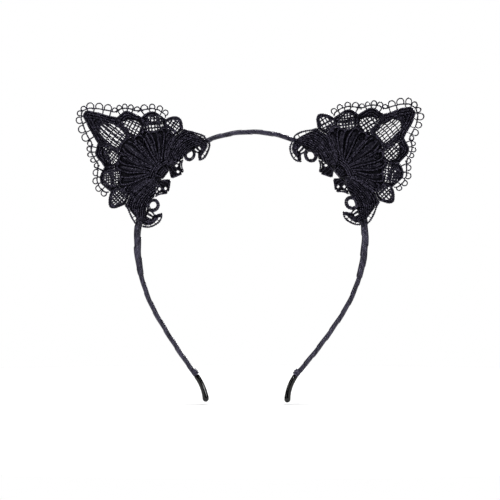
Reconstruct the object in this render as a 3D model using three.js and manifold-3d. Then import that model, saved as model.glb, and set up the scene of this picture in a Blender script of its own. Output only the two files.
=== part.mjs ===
// Cat-ear headband: a narrow spring-steel hair band bound in satin ribbon, with dipped plastic tips
// and two flat guipure lace ears fastened to its front.
// Millimetres, +Z up, -Y to the front. The origin is the middle of the crown's inner face, where the
// band rests on the head; left and right are -X and +X.
import * as THREE from 'three';
import { mergeVertices } from 'three/addons/utils/BufferGeometryUtils.js';
import Module from 'manifold-3d';

const wasm = await Module();
wasm.setup();

// Driving dimensions --------------------------------------------------------------------------

// Each half of the band is a run of arcs from the crown's middle: radius in mm and turn in degrees,
// positive towards the head. The last arc turns outwards, so that the tips don't dig in.
const CROWN_RADIUS = 66.5;
const BENDS = {
  left: [[CROWN_RADIUS, 55.5], [56.5, 31], [85, 33.5], [356.5, 6.5], [29, -29.5]],
  right: [[CROWN_RADIUS, 68.5], [44, 19.5], [82, 34.5], [264, 9], [26, -39.5]],
};

const CORE_WIDTH = 3.8; // front to back
const CORE_THICK = 1.8; // seen from the front
const RIBBON_THICK = 0.4;
const DOUBLED_RIBBON_THICK = 0.85; // where two ends of ribbon lap on each shoulder
const CLEARANCE = 0.2; // between the core and what is wound on it
const PIECE_GAP = 0.3; // between pieces that meet end to end or edge to edge

const TIP_LENGTH = 15.2; // of band that each tip takes
const TIP_SOCKET = 10; // of core inside each tip
const TIP_WALL = 0.5;
const TIP_NOSE = 1.2; // how far the rounded end stands past the band's own end
const TIP_BULGE = 1.06; // the nose's size over the shank's
const TUCK_LENGTH = 3.2; // the knot of ribbon tucked in above each tip
const TUCK_THICK = 1.1;
const SHOULDER_START = 45; // along the band from the crown's middle
const SHOULDER_END = { left: 110, right: 112 };

const EAR_HEIGHT = 60.2;
const EAR_WIDTH = 64.8;
const EARS = {
  left: { station: 57.45, tilt: 3, seat: 3.9 },
  right: { station: 57.1, tilt: 0.5, seat: 2.9 },
}; // where the ear's axis crosses the band, its turn from the band's normal, and the lace below it
const EAR_LEAN = 3; // the peak leans back by this
const EAR_CUP = 5; // the ear's sides curl forwards by up to this
const CURL_FROM = 10; // the ear is flat below this height, where it is fastened

const GLUE_THICK = 0.6;
const GLUE_WIDTH = 2.2;
const GLUE_REACH = 27; // each way along the band from the ear's axis
const PEAK_THICK = 1.4;
const NET_THICK = 0.5;
const SCALLOP_THICK = 1.2;
const FAN_THICK = 2;
const LEAF_THICK = 1.8;
const SCROLL_THICK = 1.6;
const TAIL_THICK = 1.4;
const PICOT_THICK = 0.5;
const PICOT_IN = 1.3; // the picot edging's width, inwards and outwards of its line of loops
const PICOT_OUT = 1.9;
const PICOT_PITCH = 4.1;

const BAND_STEP = 4; // length of a straight facet along the band
const EDGE_STEP = 1.7; // length of a facet along a lace outline

// Materials -----------------------------------------------------------------------------------

const SATIN = { color: 0x2a2736, roughness: 0.42, metalness: 0 };
const THREAD = { color: 0x1d1b24, roughness: 0.7, metalness: 0 };
const STEEL = { color: 0x6f7176, roughness: 0.35, metalness: 1 };
const PLASTIC = { color: 0x0c0b0e, roughness: 0.12, metalness: 0 };
const GLUE = { color: 0x3a3740, roughness: 0.4, metalness: 0 };

// The band's centreline -----------------------------------------------------------------------

const bandHalfThick = CORE_THICK / 2 + CLEARANCE + RIBBON_THICK;
const arcLength = ([radius, turn]) => radius * Math.abs(THREE.MathUtils.degToRad(turn));
const halfLength = {
  left: BENDS.left.reduce((sum, bend) => sum + arcLength(bend), 0),
  right: BENDS.right.reduce((sum, bend) => sum + arcLength(bend), 0),
};
const sideOf = (station) => (station < 0 ? 'left' : 'right');

// The crown ribbon has an odd number of facets, so its middle facet is level and lies at z = 0.
const crownFacets = 2 * Math.round(SHOULDER_START / BAND_STEP) + 1;
const crownHalfFacet = SHOULDER_START / crownFacets / CROWN_RADIUS;
const crownHeight = CROWN_RADIUS - (CROWN_RADIUS - bandHalfThick) * Math.cos(crownHalfFacet);

// Place, tangent and outward normal at a station: the distance along the band from the crown's
// middle, below zero on the left.
function bandFrame(station) {
  const side = sideOf(station);
  const way = side === 'left' ? -1 : 1;
  let left = Math.abs(station);
  let heading = 0;
  let across = 0;
  let height = crownHeight;
  for (const [i, bend] of BENDS[side].entries()) {
    const last = i === BENDS[side].length - 1;
    const run = last ? left : Math.min(left, arcLength(bend));
    const radius = Math.sign(bend[1]) * bend[0];
    const next = heading + run / radius;
    across += radius * (Math.sin(next) - Math.sin(heading));
    height += radius * (Math.cos(next) - Math.cos(heading));
    heading = next;
    left -= run;
    if (left <= 0) break;
  }
  return {
    place: new THREE.Vector3(way * across, 0, height),
    tangent: new THREE.Vector3(Math.cos(heading), 0, -way * Math.sin(heading)),
    normal: new THREE.Vector3(way * Math.sin(heading), 0, Math.cos(heading)),
  };
}

// Geometry helpers ----------------------------------------------------------------------------

// Moves every vertex by a function of its place.
function warp(geometry, place) {
  const position = geometry.attributes.position;
  const point = new THREE.Vector3();
  for (let i = 0; i < position.count; i += 1) {
    point.fromBufferAttribute(position, i);
    const moved = place(point);
    position.setXYZ(i, moved.x, moved.y, moved.z);
  }
  return geometry;
}

// Bends a straight piece, whose x is depth, y is out from the band and z is the station.
function bendToBand(geometry) {
  return warp(geometry, ({ x, y, z }) => {
    const { place, normal } = bandFrame(z);
    return place.clone().addScaledVector(normal, y).setY(x);
  });
}

// A flat oval, width by thickness, for the band and all that is wound on it.
function ovalPath(width, thick, path = new THREE.Path()) {
  const round = thick / 2;
  const flat = Math.max(width / 2 - round, 0.1);
  path.moveTo(-flat, -round).lineTo(flat, -round);
  path.absarc(flat, 0, round, -Math.PI / 2, Math.PI / 2, false);
  path.lineTo(-flat, round);
  path.absarc(-flat, 0, round, Math.PI / 2, (3 * Math.PI) / 2, false);
  return path;
}

function alongBand(shape, from, to, steps) {
  const count = steps ?? Math.max(1, Math.round((to - from) / BAND_STEP));
  const options = { depth: to - from, steps: count, bevelEnabled: false, curveSegments: 2 };
  return bendToBand(new THREE.ExtrudeGeometry(shape, options).translate(0, 0, from));
}

function bandBar(width, thick, from, to, steps) {
  return alongBand(ovalPath(width, thick, new THREE.Shape()), from, to, steps);
}

// A sleeve wound on the core, of the given wall.
function bandSleeve(wall, from, to, steps) {
  const width = CORE_WIDTH + 2 * CLEARANCE;
  const thick = CORE_THICK + 2 * CLEARANCE;
  const shape = ovalPath(width + 2 * wall, thick + 2 * wall, new THREE.Shape());
  shape.holes.push(ovalPath(width, thick));
  return alongBand(shape, from, to, steps);
}

function toSolid(geometry) {
  const bare = geometry.clone();
  bare.deleteAttribute('normal');
  bare.deleteAttribute('uv');
  const merged = mergeVertices(bare, 1e-5);
  const vertProperties = Float32Array.from(merged.attributes.position.array);
  const triVerts = Uint32Array.from(merged.index.array);
  return new wasm.Manifold(new wasm.Mesh({ numProp: 3, vertProperties, triVerts }));
}

function toGeometry(solid) {
  const { vertProperties, triVerts } = solid.getMesh();
  const geometry = new THREE.BufferGeometry();
  geometry.setAttribute('position', new THREE.BufferAttribute(vertProperties, 3));
  geometry.setIndex(new THREE.BufferAttribute(triVerts, 1));
  geometry.computeVertexNormals();
  return geometry;
}

const headband = new THREE.Group();
headband.name = 'cat_ear_headband';

function addMesh(name, geometry, finish) {
  const mesh = new THREE.Mesh(geometry, new THREE.MeshStandardMaterial(finish));
  mesh.name = name;
  headband.add(mesh);
}

// The band ------------------------------------------------------------------------------------

// One side's stations, from the crown outwards, as distances.
function marks(side) {
  const tip = halfLength[side] - TIP_LENGTH;
  const tuck = tip - PIECE_GAP - TUCK_LENGTH;
  return { tip, tuck, shoulder: SHOULDER_END[side], core: tip + TIP_SOCKET };
}

// Calls make with two distances on one side as two rising stations.
function onSide(side, near, far, make) {
  return side === 'left' ? make(-far, -near) : make(near, far);
}

// A tip's outline of revolution: a straight shank that swells to a round nose.
function tipGeometry(side) {
  const { tip } = marks(side);
  const length = TIP_LENGTH + TIP_NOSE;
  const nose = 2; // length of the rounded end
  const outline = [new THREE.Vector2(0, 0), new THREE.Vector2(0.94, 0), new THREE.Vector2(1, 0.4)];
  for (const share of [0.35, 0.6, 0.8]) {
    const swell = 1 + (TIP_BULGE - 1) * THREE.MathUtils.smoothstep(share, 0.3, 0.8);
    outline.push(new THREE.Vector2(swell, share * length));
  }
  for (const angle of [0, 25, 50, 70]) {
    const turn = THREE.MathUtils.degToRad(angle);
    const height = length - nose + nose * Math.sin(turn);
    outline.push(new THREE.Vector2(TIP_BULGE * Math.cos(turn), height));
  }
  outline.push(new THREE.Vector2(0, length));
  const halfWidth = CORE_WIDTH / 2 + PIECE_GAP + TIP_WALL;
  const halfThick = CORE_THICK / 2 + PIECE_GAP + TIP_WALL;
  const tipBody = new THREE.LatheGeometry(outline, 16);
  tipBody.scale(halfWidth, 1, halfThick);
  tipBody.rotateX(Math.PI / 2);
  if (side === 'left') tipBody.rotateY(Math.PI);
  tipBody.translate(0, 0, side === 'left' ? -tip : tip);
  bendToBand(tipBody);
  const width = CORE_WIDTH + 2 * PIECE_GAP;
  const thick = CORE_THICK + 2 * PIECE_GAP;
  const socketEnd = tip + TIP_SOCKET + PIECE_GAP;
  const socket = onSide(side, tip - 1, socketEnd, (from, to) => bandBar(width, thick, from, to));
  return toGeometry(toSolid(tipBody).subtract(toSolid(socket)));
}

const coreEnd = { left: -marks('left').core, right: marks('right').core };
const core = bandBar(CORE_WIDTH, CORE_THICK, coreEnd.left, coreEnd.right);
addMesh('band_core', core, STEEL);
addMesh(
  'crown_ribbon',
  bandSleeve(RIBBON_THICK, -SHOULDER_START, SHOULDER_START, crownFacets),
  SATIN,
);

for (const side of ['left', 'right']) {
  const { tip, tuck, shoulder } = marks(side);
  const sleeve = (wall, near, far) =>
    onSide(side, near, far, (from, to) => bandSleeve(wall, from, to));
  const doubled = sleeve(DOUBLED_RIBBON_THICK, SHOULDER_START + PIECE_GAP, shoulder);
  addMesh(`${side}_shoulder_ribbon`, doubled, SATIN);
  addMesh(`${side}_leg_ribbon`, sleeve(RIBBON_THICK, shoulder + PIECE_GAP, tuck - PIECE_GAP), SATIN);
  addMesh(`${side}_ribbon_knot`, sleeve(TUCK_THICK, tuck, tip - PIECE_GAP), SATIN);
  addMesh(`${side}_tip`, tipGeometry(side), PLASTIC);
}

// The lace motif's plan -----------------------------------------------------------------------

// The plan is drawn on a height axis u, up the ear from its foot, and a half-width axis v, for an
// ear 60.2 high and 64.8 wide. Borders are curves between the junctions of neighbouring pieces.
const PLAN_HEIGHT = 60.2;
const PLAN_WIDTH = 64.8;

const BORDERS = {
  peakRim: [[60.2, 0], [59.5, 2.2], [56, 4], [53, 5.5], [48.5, 7.2], [46, 8.2], [43.5, 9.4]],
  rim1: [[43.5, 9.4], [42.6, 12.2], [41.7, 15.2], [39.2, 17.3], [35.8, 17.9], [32.4, 18.35]],
  rim2: [[32.4, 18.35], [31.9, 20.8], [30.6, 23.4], [28, 25.2], [24.4, 25.5], [20.4, 25.9]],
  rim3: [[20.4, 25.9], [19.4, 28.3], [17.3, 31], [14.8, 32.3], [12.3, 31.2], [10.4, 28.8], [9.3, 27.1]],
  leafRim: [[9.3, 27.1], [6.5, 28.2], [4.5, 29.5], [2, 31], [-0.5, 32], [-3.2, 32.4], [-5.6, 30.9]],
  peakSeam: [[43.5, 9.4], [39, 7.3], [34, 6], [30.2, 4.9]],
  fanTop: [[30.2, 4.9], [31.5, 2.8], [31.9, 0]],
  seam12: [[32.4, 18.35], [30, 16.4], [27.5, 14]],
  seam23: [[20.4, 25.9], [19, 23.5], [17.5, 21]],
  seam3Leaf: [[9.3, 27.1], [9.8, 24.5], [10.8, 21.8]],
  fanEdge1: [[30.2, 4.9], [28.4, 7.4], [27, 10.6], [27.5, 14]],
  fanEdge2: [[27.5, 14], [24.4, 12.9], [21.8, 14.8], [19.9, 18], [17.5, 21]],
  fanEdge3: [[17.5, 21], [14, 20.6], [10.8, 21.8]],
  fanFoot: [[10.8, 21.8], [9.8, 17.8], [8.8, 12.6], [7, 7.6], [4, 4.2], [1.2, 2.7]],
  leafFoot: [[1.2, 2.7], [2.2, 5], [1.6, 8], [0.2, 11], [-1.35, 13.6]],
  leafScroll: [[-1.35, 13.6], [-0.6, 15.4], [-0.5, 18], [-1.2, 21], [-3, 24.5], [-4.4, 28], [-5.6, 30.9]],
  tailFoot: [[-2.3, 0], [-3.5, 2.5], [-5, 5.5], [-6, 7.2]],
  tailHeel: [[-6, 7.2], [-5.4, 8.1], [-3.3, 9], [-1.9, 11], [-1.35, 13.6]],
  ringRim: [[-1.35, 13.6], [-4.2, 14.6], [-6.4, 16.3], [-7.3, 18.3], [-7.1, 20.2], [-7.1, 21.3]],
  curlInner: [[-7.1, 21.3], [-8.3, 19.8], [-9.6, 18.5]],
  curlOuter: [[-9.6, 18.5], [-11.2, 20.6], [-11.7, 23.2], [-10.8, 26.3], [-8.9, 29], [-5.6, 30.9]],
};
const NET_WINDOW = { low: 33.3, high: 47.4, foot: 5, head: 3.2 };
const RING_HOLE = { u: -3.4, v: 17.7, high: 1.7, wide: 2.2 };
const PICOT_LINE = [
  [62, 0], [61.2, 2.6], [59.2, 4.9], [55, 7.7], [50.3, 10], [46.5, 11.7], [45.2, 14.4],
  [43, 17.6], [39.5, 19.9], [36, 20.9], [34.3, 23.2], [31.4, 26.5], [27, 28.4], [22.8, 28.8],
];

// Points along a border, evenly spaced, in the ear's own millimetres as (v, u).
function trace(points, step = EDGE_STEP) {
  const scaled = points.map(
    ([u, v]) => new THREE.Vector2((v * EAR_WIDTH) / PLAN_WIDTH, (u * EAR_HEIGHT) / PLAN_HEIGHT),
  );
  const curve = new THREE.SplineCurve(scaled);
  return curve.getSpacedPoints(Math.max(1, Math.round(curve.getLength() / step)));
}

// Joins borders end to end, each turned round where its name starts with '-'.
function outlineOf(...names) {
  const points = [];
  for (const name of names) {
    const run = trace(BORDERS[name.replace('-', '')]);
    if (name.startsWith('-')) run.reverse();
    points.push(...run.slice(0, -1));
  }
  return points;
}

const mirrored = (points) => points.map((point) => new THREE.Vector2(-point.x, point.y)).reverse();

// Draws a closed outline in by a distance, or out where it is negative.
function inset(points, distance) {
  const turnsLeft = THREE.ShapeUtils.area(points) > 0 ? 1 : -1;
  return points.map((point, i) => {
    const before = points[(i + points.length - 1) % points.length];
    const after = points[(i + 1) % points.length];
    const entering = point.clone().sub(before).normalize();
    const leaving = after.clone().sub(point).normalize();
    const along = entering.clone().add(leaving).normalize();
    const inwards = new THREE.Vector2(-along.y, along.x).multiplyScalar(turnsLeft);
    const squeeze = Math.max(along.dot(leaving), 0.5);
    return point.clone().addScaledVector(inwards, distance / squeeze);
  });
}

function shapeOf(points, holes = []) {
  const shape = new THREE.Shape(points);
  shape.holes = holes.map((hole) => new THREE.Path(hole));
  return shape;
}

function ellipse(u, v, high, wide, sides = 10) {
  return Array.from({ length: sides }, (_, i) => {
    const angle = (2 * Math.PI * i) / sides;
    const x = ((v + wide * Math.cos(angle)) * EAR_WIDTH) / PLAN_WIDTH;
    const y = ((u + high * Math.sin(angle)) * EAR_HEIGHT) / PLAN_HEIGHT;
    return new THREE.Vector2(x, y);
  });
}

// The window in the peak, which the net fills.
function windowOutline() {
  const { low, high, foot, head } = NET_WINDOW;
  const side = trace([[low, foot], [(low + high) / 2 + 1, foot * 0.94], [high, head]]);
  return [...side, ...mirrored(side)];
}

// The picot edging: a strip round the ear's upper rim, its outer edge in a row of loops.
function picotOutline() {
  const half = trace(PICOT_LINE);
  const line = [...mirrored(half).slice(0, -1), ...half];
  const edge = (reach) =>
    line.map((point, i) => {
      const before = line[Math.max(i - 1, 0)];
      const after = line[Math.min(i + 1, line.length - 1)];
      const along = after.clone().sub(before).normalize();
      return point.clone().add(new THREE.Vector2(-along.y, along.x).multiplyScalar(reach(i)));
    });
  const loop = (i) => Math.abs(Math.sin((Math.PI * i * EDGE_STEP) / PICOT_PITCH));
  const outer = edge((i) => PICOT_OUT * (0.75 + 0.25 * loop(i)));
  const inner = edge(() => -PICOT_IN);
  return [...outer, ...inner.reverse()];
}

// The pieces of one ear: outline, thickness and holes. Those on its axis are drawn once, and the
// others once for the crown side of the ear and once, mirrored, for the leg side.
function whole(...names) {
  const half = outlineOf(...names);
  return [...half, ...mirrored(half).slice(0, -1)];
}

const net = windowOutline();
const AXIS_PIECES = {
  peak: {
    outline: inset(whole('peakRim', 'peakSeam', 'fanTop'), PIECE_GAP / 2),
    holes: [net],
    thick: PEAK_THICK,
  },
  peak_net: { outline: inset(net, PIECE_GAP), thick: NET_THICK },
  fan: {
    outline: inset(
      whole('-fanTop', 'fanEdge1', 'fanEdge2', 'fanEdge3', 'fanFoot'),
      PIECE_GAP / 2,
    ),
    thick: FAN_THICK,
  },
  picots: { outline: picotOutline(), thick: PICOT_THICK },
};
const SIDE_PIECES = {
  scallop_1: { names: ['rim1', 'seam12', '-fanEdge1', '-peakSeam'], thick: SCALLOP_THICK },
  scallop_2: { names: ['rim2', 'seam23', '-fanEdge2', '-seam12'], thick: SCALLOP_THICK },
  scallop_3: { names: ['rim3', 'seam3Leaf', '-fanEdge3', '-seam23'], thick: SCALLOP_THICK },
  leaf: { names: ['leafRim', '-leafScroll', '-leafFoot', '-fanFoot', '-seam3Leaf'], thick: LEAF_THICK },
  scroll: {
    names: ['ringRim', 'curlInner', 'curlOuter', '-leafScroll'],
    holes: [ellipse(RING_HOLE.u, RING_HOLE.v, RING_HOLE.high, RING_HOLE.wide)],
    thick: SCROLL_THICK,
  },
  tail: { names: ['tailFoot', 'tailHeel', '-leafFoot'], thick: TAIL_THICK },
};

// The ears ------------------------------------------------------------------------------------

const laceBack = CORE_WIDTH / 2 + CLEARANCE + DOUBLED_RIBBON_THICK + 2 * PIECE_GAP + GLUE_THICK;

// How far the lace stands behind its flat plane at a point of the plan.
function curl(v, u) {
  const rise = Math.max(u - CURL_FROM, 0) / (EAR_HEIGHT - CURL_FROM);
  return EAR_LEAN * rise ** 2 - EAR_CUP * rise * (v / (EAR_WIDTH / 2)) ** 2;
}

// Cuts a piece of lace to its thickness and sets it in its place on the band. Across the plan runs
// towards +X, which is the crown side of the left ear and the leg side of the right one.
function laceGeometry(side, points, thick, holes = []) {
  const { station, tilt, seat } = EARS[side];
  const way = side === 'left' ? -1 : 1;
  const { place, normal } = bandFrame(way * station);
  const turn = way * THREE.MathUtils.degToRad(tilt);
  const up = normal.clone().applyAxisAngle(new THREE.Vector3(0, 1, 0), turn);
  const across = new THREE.Vector3(up.z, 0, -up.x);
  const foot = place.clone().addScaledVector(up, -seat);
  const shape = shapeOf(points, holes);
  const sheet = new THREE.ExtrudeGeometry(shape, { depth: thick, bevelEnabled: false });
  return warp(sheet, ({ x, y, z }) =>
    foot
      .clone()
      .addScaledVector(across, x)
      .addScaledVector(up, y)
      .setY(curl(x, y) - laceBack - z),
  );
}

for (const side of ['left', 'right']) {
  for (const [name, { outline, thick, holes }] of Object.entries(AXIS_PIECES)) {
    addMesh(`${side}_${name}`, laceGeometry(side, outline, thick, holes), THREAD);
  }
  for (const [name, { names, thick, holes = [] }] of Object.entries(SIDE_PIECES)) {
    const outline = inset(outlineOf(...names), PIECE_GAP / 2);
    for (const half of ['crown', 'leg']) {
      const flip = (half === 'crown') !== (side === 'left');
      const turned = (points) => (flip ? mirrored(points) : points);
      const piece = laceGeometry(side, turned(outline), thick, holes.map(turned));
      addMesh(`${side}_${half}_${name}`, piece, THREAD);
    }
  }
}

// The glue line between the band's front and each ear.
for (const side of ['left', 'right']) {
  const { station } = EARS[side];
  const back = laceBack - PIECE_GAP;
  const strip = new THREE.Shape([
    new THREE.Vector2(-back, -GLUE_WIDTH / 2),
    new THREE.Vector2(-back + GLUE_THICK, -GLUE_WIDTH / 2),
    new THREE.Vector2(-back + GLUE_THICK, GLUE_WIDTH / 2),
    new THREE.Vector2(-back, GLUE_WIDTH / 2),
  ]);
  const glue = onSide(side, station - GLUE_REACH, station + GLUE_REACH, (from, to) =>
    alongBand(strip, from, to),
  );
  addMesh(`${side}_glue_line`, glue, GLUE);
}

export default headband;
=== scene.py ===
"""A cat-ear headband: a satin-wound spring band with dipped tips and two guipure lace ears."""

import random
from math import atan2, ceil, cos, exp, hypot, pi, radians, sin

import bmesh
import bpy
import numpy as np
from mathutils import Matrix, Vector


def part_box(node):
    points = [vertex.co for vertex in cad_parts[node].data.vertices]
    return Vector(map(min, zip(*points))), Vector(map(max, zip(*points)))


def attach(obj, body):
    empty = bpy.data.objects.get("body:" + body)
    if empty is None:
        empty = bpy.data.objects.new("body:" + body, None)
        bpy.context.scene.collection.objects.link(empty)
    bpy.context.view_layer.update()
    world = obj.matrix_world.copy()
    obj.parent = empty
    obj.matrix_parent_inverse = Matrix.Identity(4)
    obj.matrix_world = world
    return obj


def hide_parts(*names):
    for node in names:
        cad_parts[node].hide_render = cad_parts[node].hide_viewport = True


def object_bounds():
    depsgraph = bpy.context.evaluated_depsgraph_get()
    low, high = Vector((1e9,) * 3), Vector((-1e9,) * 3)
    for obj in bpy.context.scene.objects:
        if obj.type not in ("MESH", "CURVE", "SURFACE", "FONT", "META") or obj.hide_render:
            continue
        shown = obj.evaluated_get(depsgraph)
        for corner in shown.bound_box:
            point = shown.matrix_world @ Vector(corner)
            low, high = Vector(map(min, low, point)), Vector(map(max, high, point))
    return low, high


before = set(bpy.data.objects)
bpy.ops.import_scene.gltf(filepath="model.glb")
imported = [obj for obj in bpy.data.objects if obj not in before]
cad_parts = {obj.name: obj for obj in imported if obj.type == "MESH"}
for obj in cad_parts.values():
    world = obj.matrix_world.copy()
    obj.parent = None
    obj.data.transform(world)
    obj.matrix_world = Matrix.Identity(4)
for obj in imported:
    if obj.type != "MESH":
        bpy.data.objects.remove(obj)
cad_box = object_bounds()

MM = 0.001
BODY = "root"
WAY = {"left": -1, "right": 1}
SIDES = tuple(WAY)

# --------------------------------------
# The band's centreline, in mm: arcs from the crown's middle outwards, radius and turn in degrees

CROWN_RADIUS = 66.5
BENDS = {
    "left": ((CROWN_RADIUS, 55.5), (56.5, 31), (85, 33.5), (356.5, 6.5), (29, -29.5)),
    "right": ((CROWN_RADIUS, 68.5), (44, 19.5), (82, 34.5), (264, 9), (26, -39.5)),
}
CORE_WIDTH, CORE_THICK = 3.8, 1.8
CORE_ROUND = CORE_THICK / 2
CORE_FLAT = CORE_WIDTH / 2 - CORE_ROUND
# How far a ribbon's lower and upper edges stand off the core
RIBBON_FOOT, RIBBON_TOP = 0.2, 0.6
SHOULDER_FOOT, SHOULDER_TOP = 0.75, 1.3
SHOULDER_START = 45
SHOULDER_END = {"left": 110, "right": 112}
TIP_LENGTH, TIP_NOSE, TIP_WALL = 15.2, 1.2, 0.8
TUCK_LENGTH = 3.2


def arc_length(bend):
    """The length of one arc of the band."""
    return bend[0] * abs(radians(bend[1]))


HALF_LENGTH = {side: sum(arc_length(bend) for bend in BENDS[side]) for side in SIDES}
CROWN_HEIGHT = CORE_THICK / 2 + RIBBON_TOP


def band_frame(station):
    """Place, tangent and outward normal at a distance from the crown's middle, negative on the left."""
    side, way = ("left", -1) if station < 0 else ("right", 1)
    left, heading, across, height = abs(station), 0.0, 0.0, CROWN_HEIGHT
    for i, bend in enumerate(BENDS[side]):
        last = i == len(BENDS[side]) - 1
        run = left if last else min(left, arc_length(bend))
        radius = bend[0] if bend[1] > 0 else -bend[0]
        turned = heading + run / radius
        across += radius * (sin(turned) - sin(heading))
        height += radius * (cos(turned) - cos(heading))
        heading = turned
        left -= run
        if left <= 0:
            break
    place = Vector((way * across, 0, height))
    tangent = Vector((cos(heading), 0, -way * sin(heading)))
    return place, tangent, Vector((way * sin(heading), 0, cos(heading)))


# --------------------------------------
# Materials: expressions on sockets add their own nodes


class Value:
    """A socket in a shader, with arithmetic that adds Math nodes."""

    def __init__(self, shader, socket):
        self.shader, self.socket = shader, socket

    def math(self, operation, *others):
        inputs = {i: other for i, other in enumerate((self, *others))}
        return self.shader.node("ShaderNodeMath", {"operation": operation}, inputs)

    def __add__(self, other):
        return self.math("ADD", other)

    def __sub__(self, other):
        return self.math("SUBTRACT", other)

    def __mul__(self, other):
        return self.math("MULTIPLY", other)

    def __rsub__(self, other):
        flipped = {0: other, 1: self}
        return self.shader.node("ShaderNodeMath", {"operation": "SUBTRACT"}, flipped)

    __radd__ = __add__
    __rmul__ = __mul__

    def sine(self):
        return self.math("SINE")

    def clamped(self):
        return self.math("MAXIMUM", 0.0).math("MINIMUM", 1.0)


class Shader:
    """A node material on one Principled surface."""

    def __init__(self, name, **constants):
        self.material = bpy.data.materials.new(name)
        self.material.use_nodes = True
        self.tree = self.material.node_tree
        self.tree.nodes.clear()
        self.surface = self.tree.nodes.new("ShaderNodeBsdfPrincipled")
        output = self.tree.nodes.new("ShaderNodeOutputMaterial")
        self.tree.links.new(self.surface.outputs[0], output.inputs[0])
        self.set(**{key.replace("_", " "): value for key, value in constants.items()})

    def node(self, kind, settings=None, inputs=None, output=0):
        """Adds a node with its settings, then the values or links of its sockets."""
        made = self.tree.nodes.new(kind)
        settings = dict(settings or {})
        stops = settings.pop("stops", None)
        for key, value in settings.items():
            setattr(made, key, value)
        if stops:
            ramp = made.color_ramp.elements
            while len(ramp) < len(stops):
                ramp.new(0.5)
            for element, (place, colour) in zip(ramp, stops):
                element.position, element.color = place, (*colour, 1)
        for key, value in (inputs or {}).items():
            self.plug(made.inputs[key], value)
        return Value(self, made.outputs[output])

    def plug(self, socket, value):
        """Links a Value to a socket, or gives the socket a plain value."""
        if isinstance(value, Value):
            self.tree.links.new(value.socket, socket)
        elif hasattr(value, "__len__") and len(value) == 3 and len(socket.default_value) == 4:
            socket.default_value = (*value, 1)
        else:
            socket.default_value = value

    def set(self, **inputs):
        """Sets or links inputs of the surface."""
        for key, value in inputs.items():
            self.plug(self.surface.inputs[key], value)

    def colour(self, share, low, high):
        """Makes the surface's colour out of two."""
        self.set(**{"Base Color": self.mix(share, low, high)})

    def attribute(self, name):
        """A number that the mesh carries on its points."""
        return self.node("ShaderNodeAttribute", {"attribute_name": name}, output="Fac")

    def noise(self, scale, detail=2.0, roughness=0.5, vector=None):
        """Noise from 0 to 1, by place in metres unless a vector is given."""
        vector = vector or self.node("ShaderNodeTexCoord", output="Object")
        inputs = {"Vector": vector, "Scale": scale, "Detail": detail}
        return self.node("ShaderNodeTexNoise", None, {**inputs, "Roughness": roughness})

    def mix(self, share, low, high):
        """A colour between two others."""
        settings = {"data_type": "RGBA", "blend_type": "MIX"}
        inputs = {0: share, 6: (*low, 1) if not isinstance(low, Value) else low}
        inputs[7] = (*high, 1) if not isinstance(high, Value) else high
        return self.node("ShaderNodeMix", settings, inputs, output=2)

    def bump(self, height, distance, strength):
        """Raises the surface by a height, a distance at most."""
        inputs = {"Height": height, "Distance": distance, "Strength": strength}
        self.set(Normal=self.node("ShaderNodeBump", None, inputs))


STRAND_PITCH = 0.21  # mm, of the threads laid across a cord
FLOAT_PITCH, PICK_PITCH = 0.16, 0.34  # mm, of the satin's threads along the ribbon and across it


def thread_material():
    """Twisted viscose: fine strands laid across each cord, a low sheen, a faint violet cast; its colour
    holds painted highlights on glints and strand crests, and painted shade on the bed under the cords.
    """
    shader = Shader("black_embroidery_thread", Specular_IOR_Level=0.24, Specular_Tint=(0.8, 0.76, 1.0))
    strand = (shader.attribute("along") * (2 * pi / STRAND_PITCH)).sine()
    fuzz = shader.noise(2600, 3)
    patches = shader.noise(700, 2)
    dull = (shader.noise(330, 1) - 0.35) * 2.2
    lay = strand * 0.5 + 0.5
    # tone mixes random fuzz and patches with a painted highlight on the strands' crests
    tone_and_painted_light = (lay * 0.25 + fuzz * 0.35 + (patches - 0.32) * 1.2).clamped()
    sheen = shader.attribute("sheen")
    # glints are painted highlights: spots of lifted colour, more of them on cords with more sheen
    glints = ((shader.noise(850, 1) - 0.61 + sheen * 0.17) * 9).clamped()
    # The bed under the cords keeps the darkest colour and no glints: painted shade in the gaps between the
    # cords
    cords = 1 - shader.attribute("bed")
    base = shader.mix(tone_and_painted_light * cords, (0.0002, 0.0002, 0.0005), (0.004, 0.0034, 0.008))
    shader.colour(glints * cords, base, (0.036, 0.0325, 0.05))
    shine = 0.24 - lay * 0.04 + fuzz * 0.08 - glints * 0.08 + dull.clamped() * 0.3
    shader.set(Roughness=(shine + 0.6 - cords * 0.6).clamped())
    shader.bump(lay * 0.3 + fuzz * 0.2 + patches * 3.2, 0.06 * MM, 0.9)
    return shader.material


def satin_material():
    """Satin ribbon: long shiny floats that run along it, with fainter cross threads and creases; its
    colour holds painted highlight streaks along it and painted shade in the creases' hollows.
    """
    shader = Shader("violet_black_satin", Specular_IOR_Level=0.26, Specular_Tint=(0.88, 0.86, 1.0))
    across = shader.attribute("across")
    along = shader.attribute("along")
    floats = (across * (2 * pi / FLOAT_PITCH)).sine() * 0.5 + 0.5
    picks = (along * (2 * pi / PICK_PITCH)).sine() * 0.5 + 0.5
    fuzz = shader.noise(1800, 3)
    creases = shader.noise(190, 3, 0.6)
    drawn = shader.node("ShaderNodeCombineXYZ", None, {0: across, 1: along * 0.07})
    # The streaks along the ribbon are painted highlights, and the creases darken their own hollows as
    # painted shade
    highlight_streaks = ((shader.noise(1.0, 2, 0.5, drawn) - 0.36) * 3.2).clamped()
    tone_and_painted_light = (floats * 0.08 + fuzz * 0.12 + creases * 0.1 + highlight_streaks * 0.7).clamped()
    shader.colour(tone_and_painted_light, (0.002, 0.0018, 0.0045), (0.05, 0.046, 0.074))
    shader.set(Roughness=(0.25 + picks * 0.03 + fuzz * 0.06 - highlight_streaks * 0.1).clamped())
    shader.bump(floats * 0.25 + picks * 0.14 + fuzz * 0.08 + creases * 1.5 + highlight_streaks * 4, 0.06 * MM, 0.9)
    return shader.material


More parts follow.
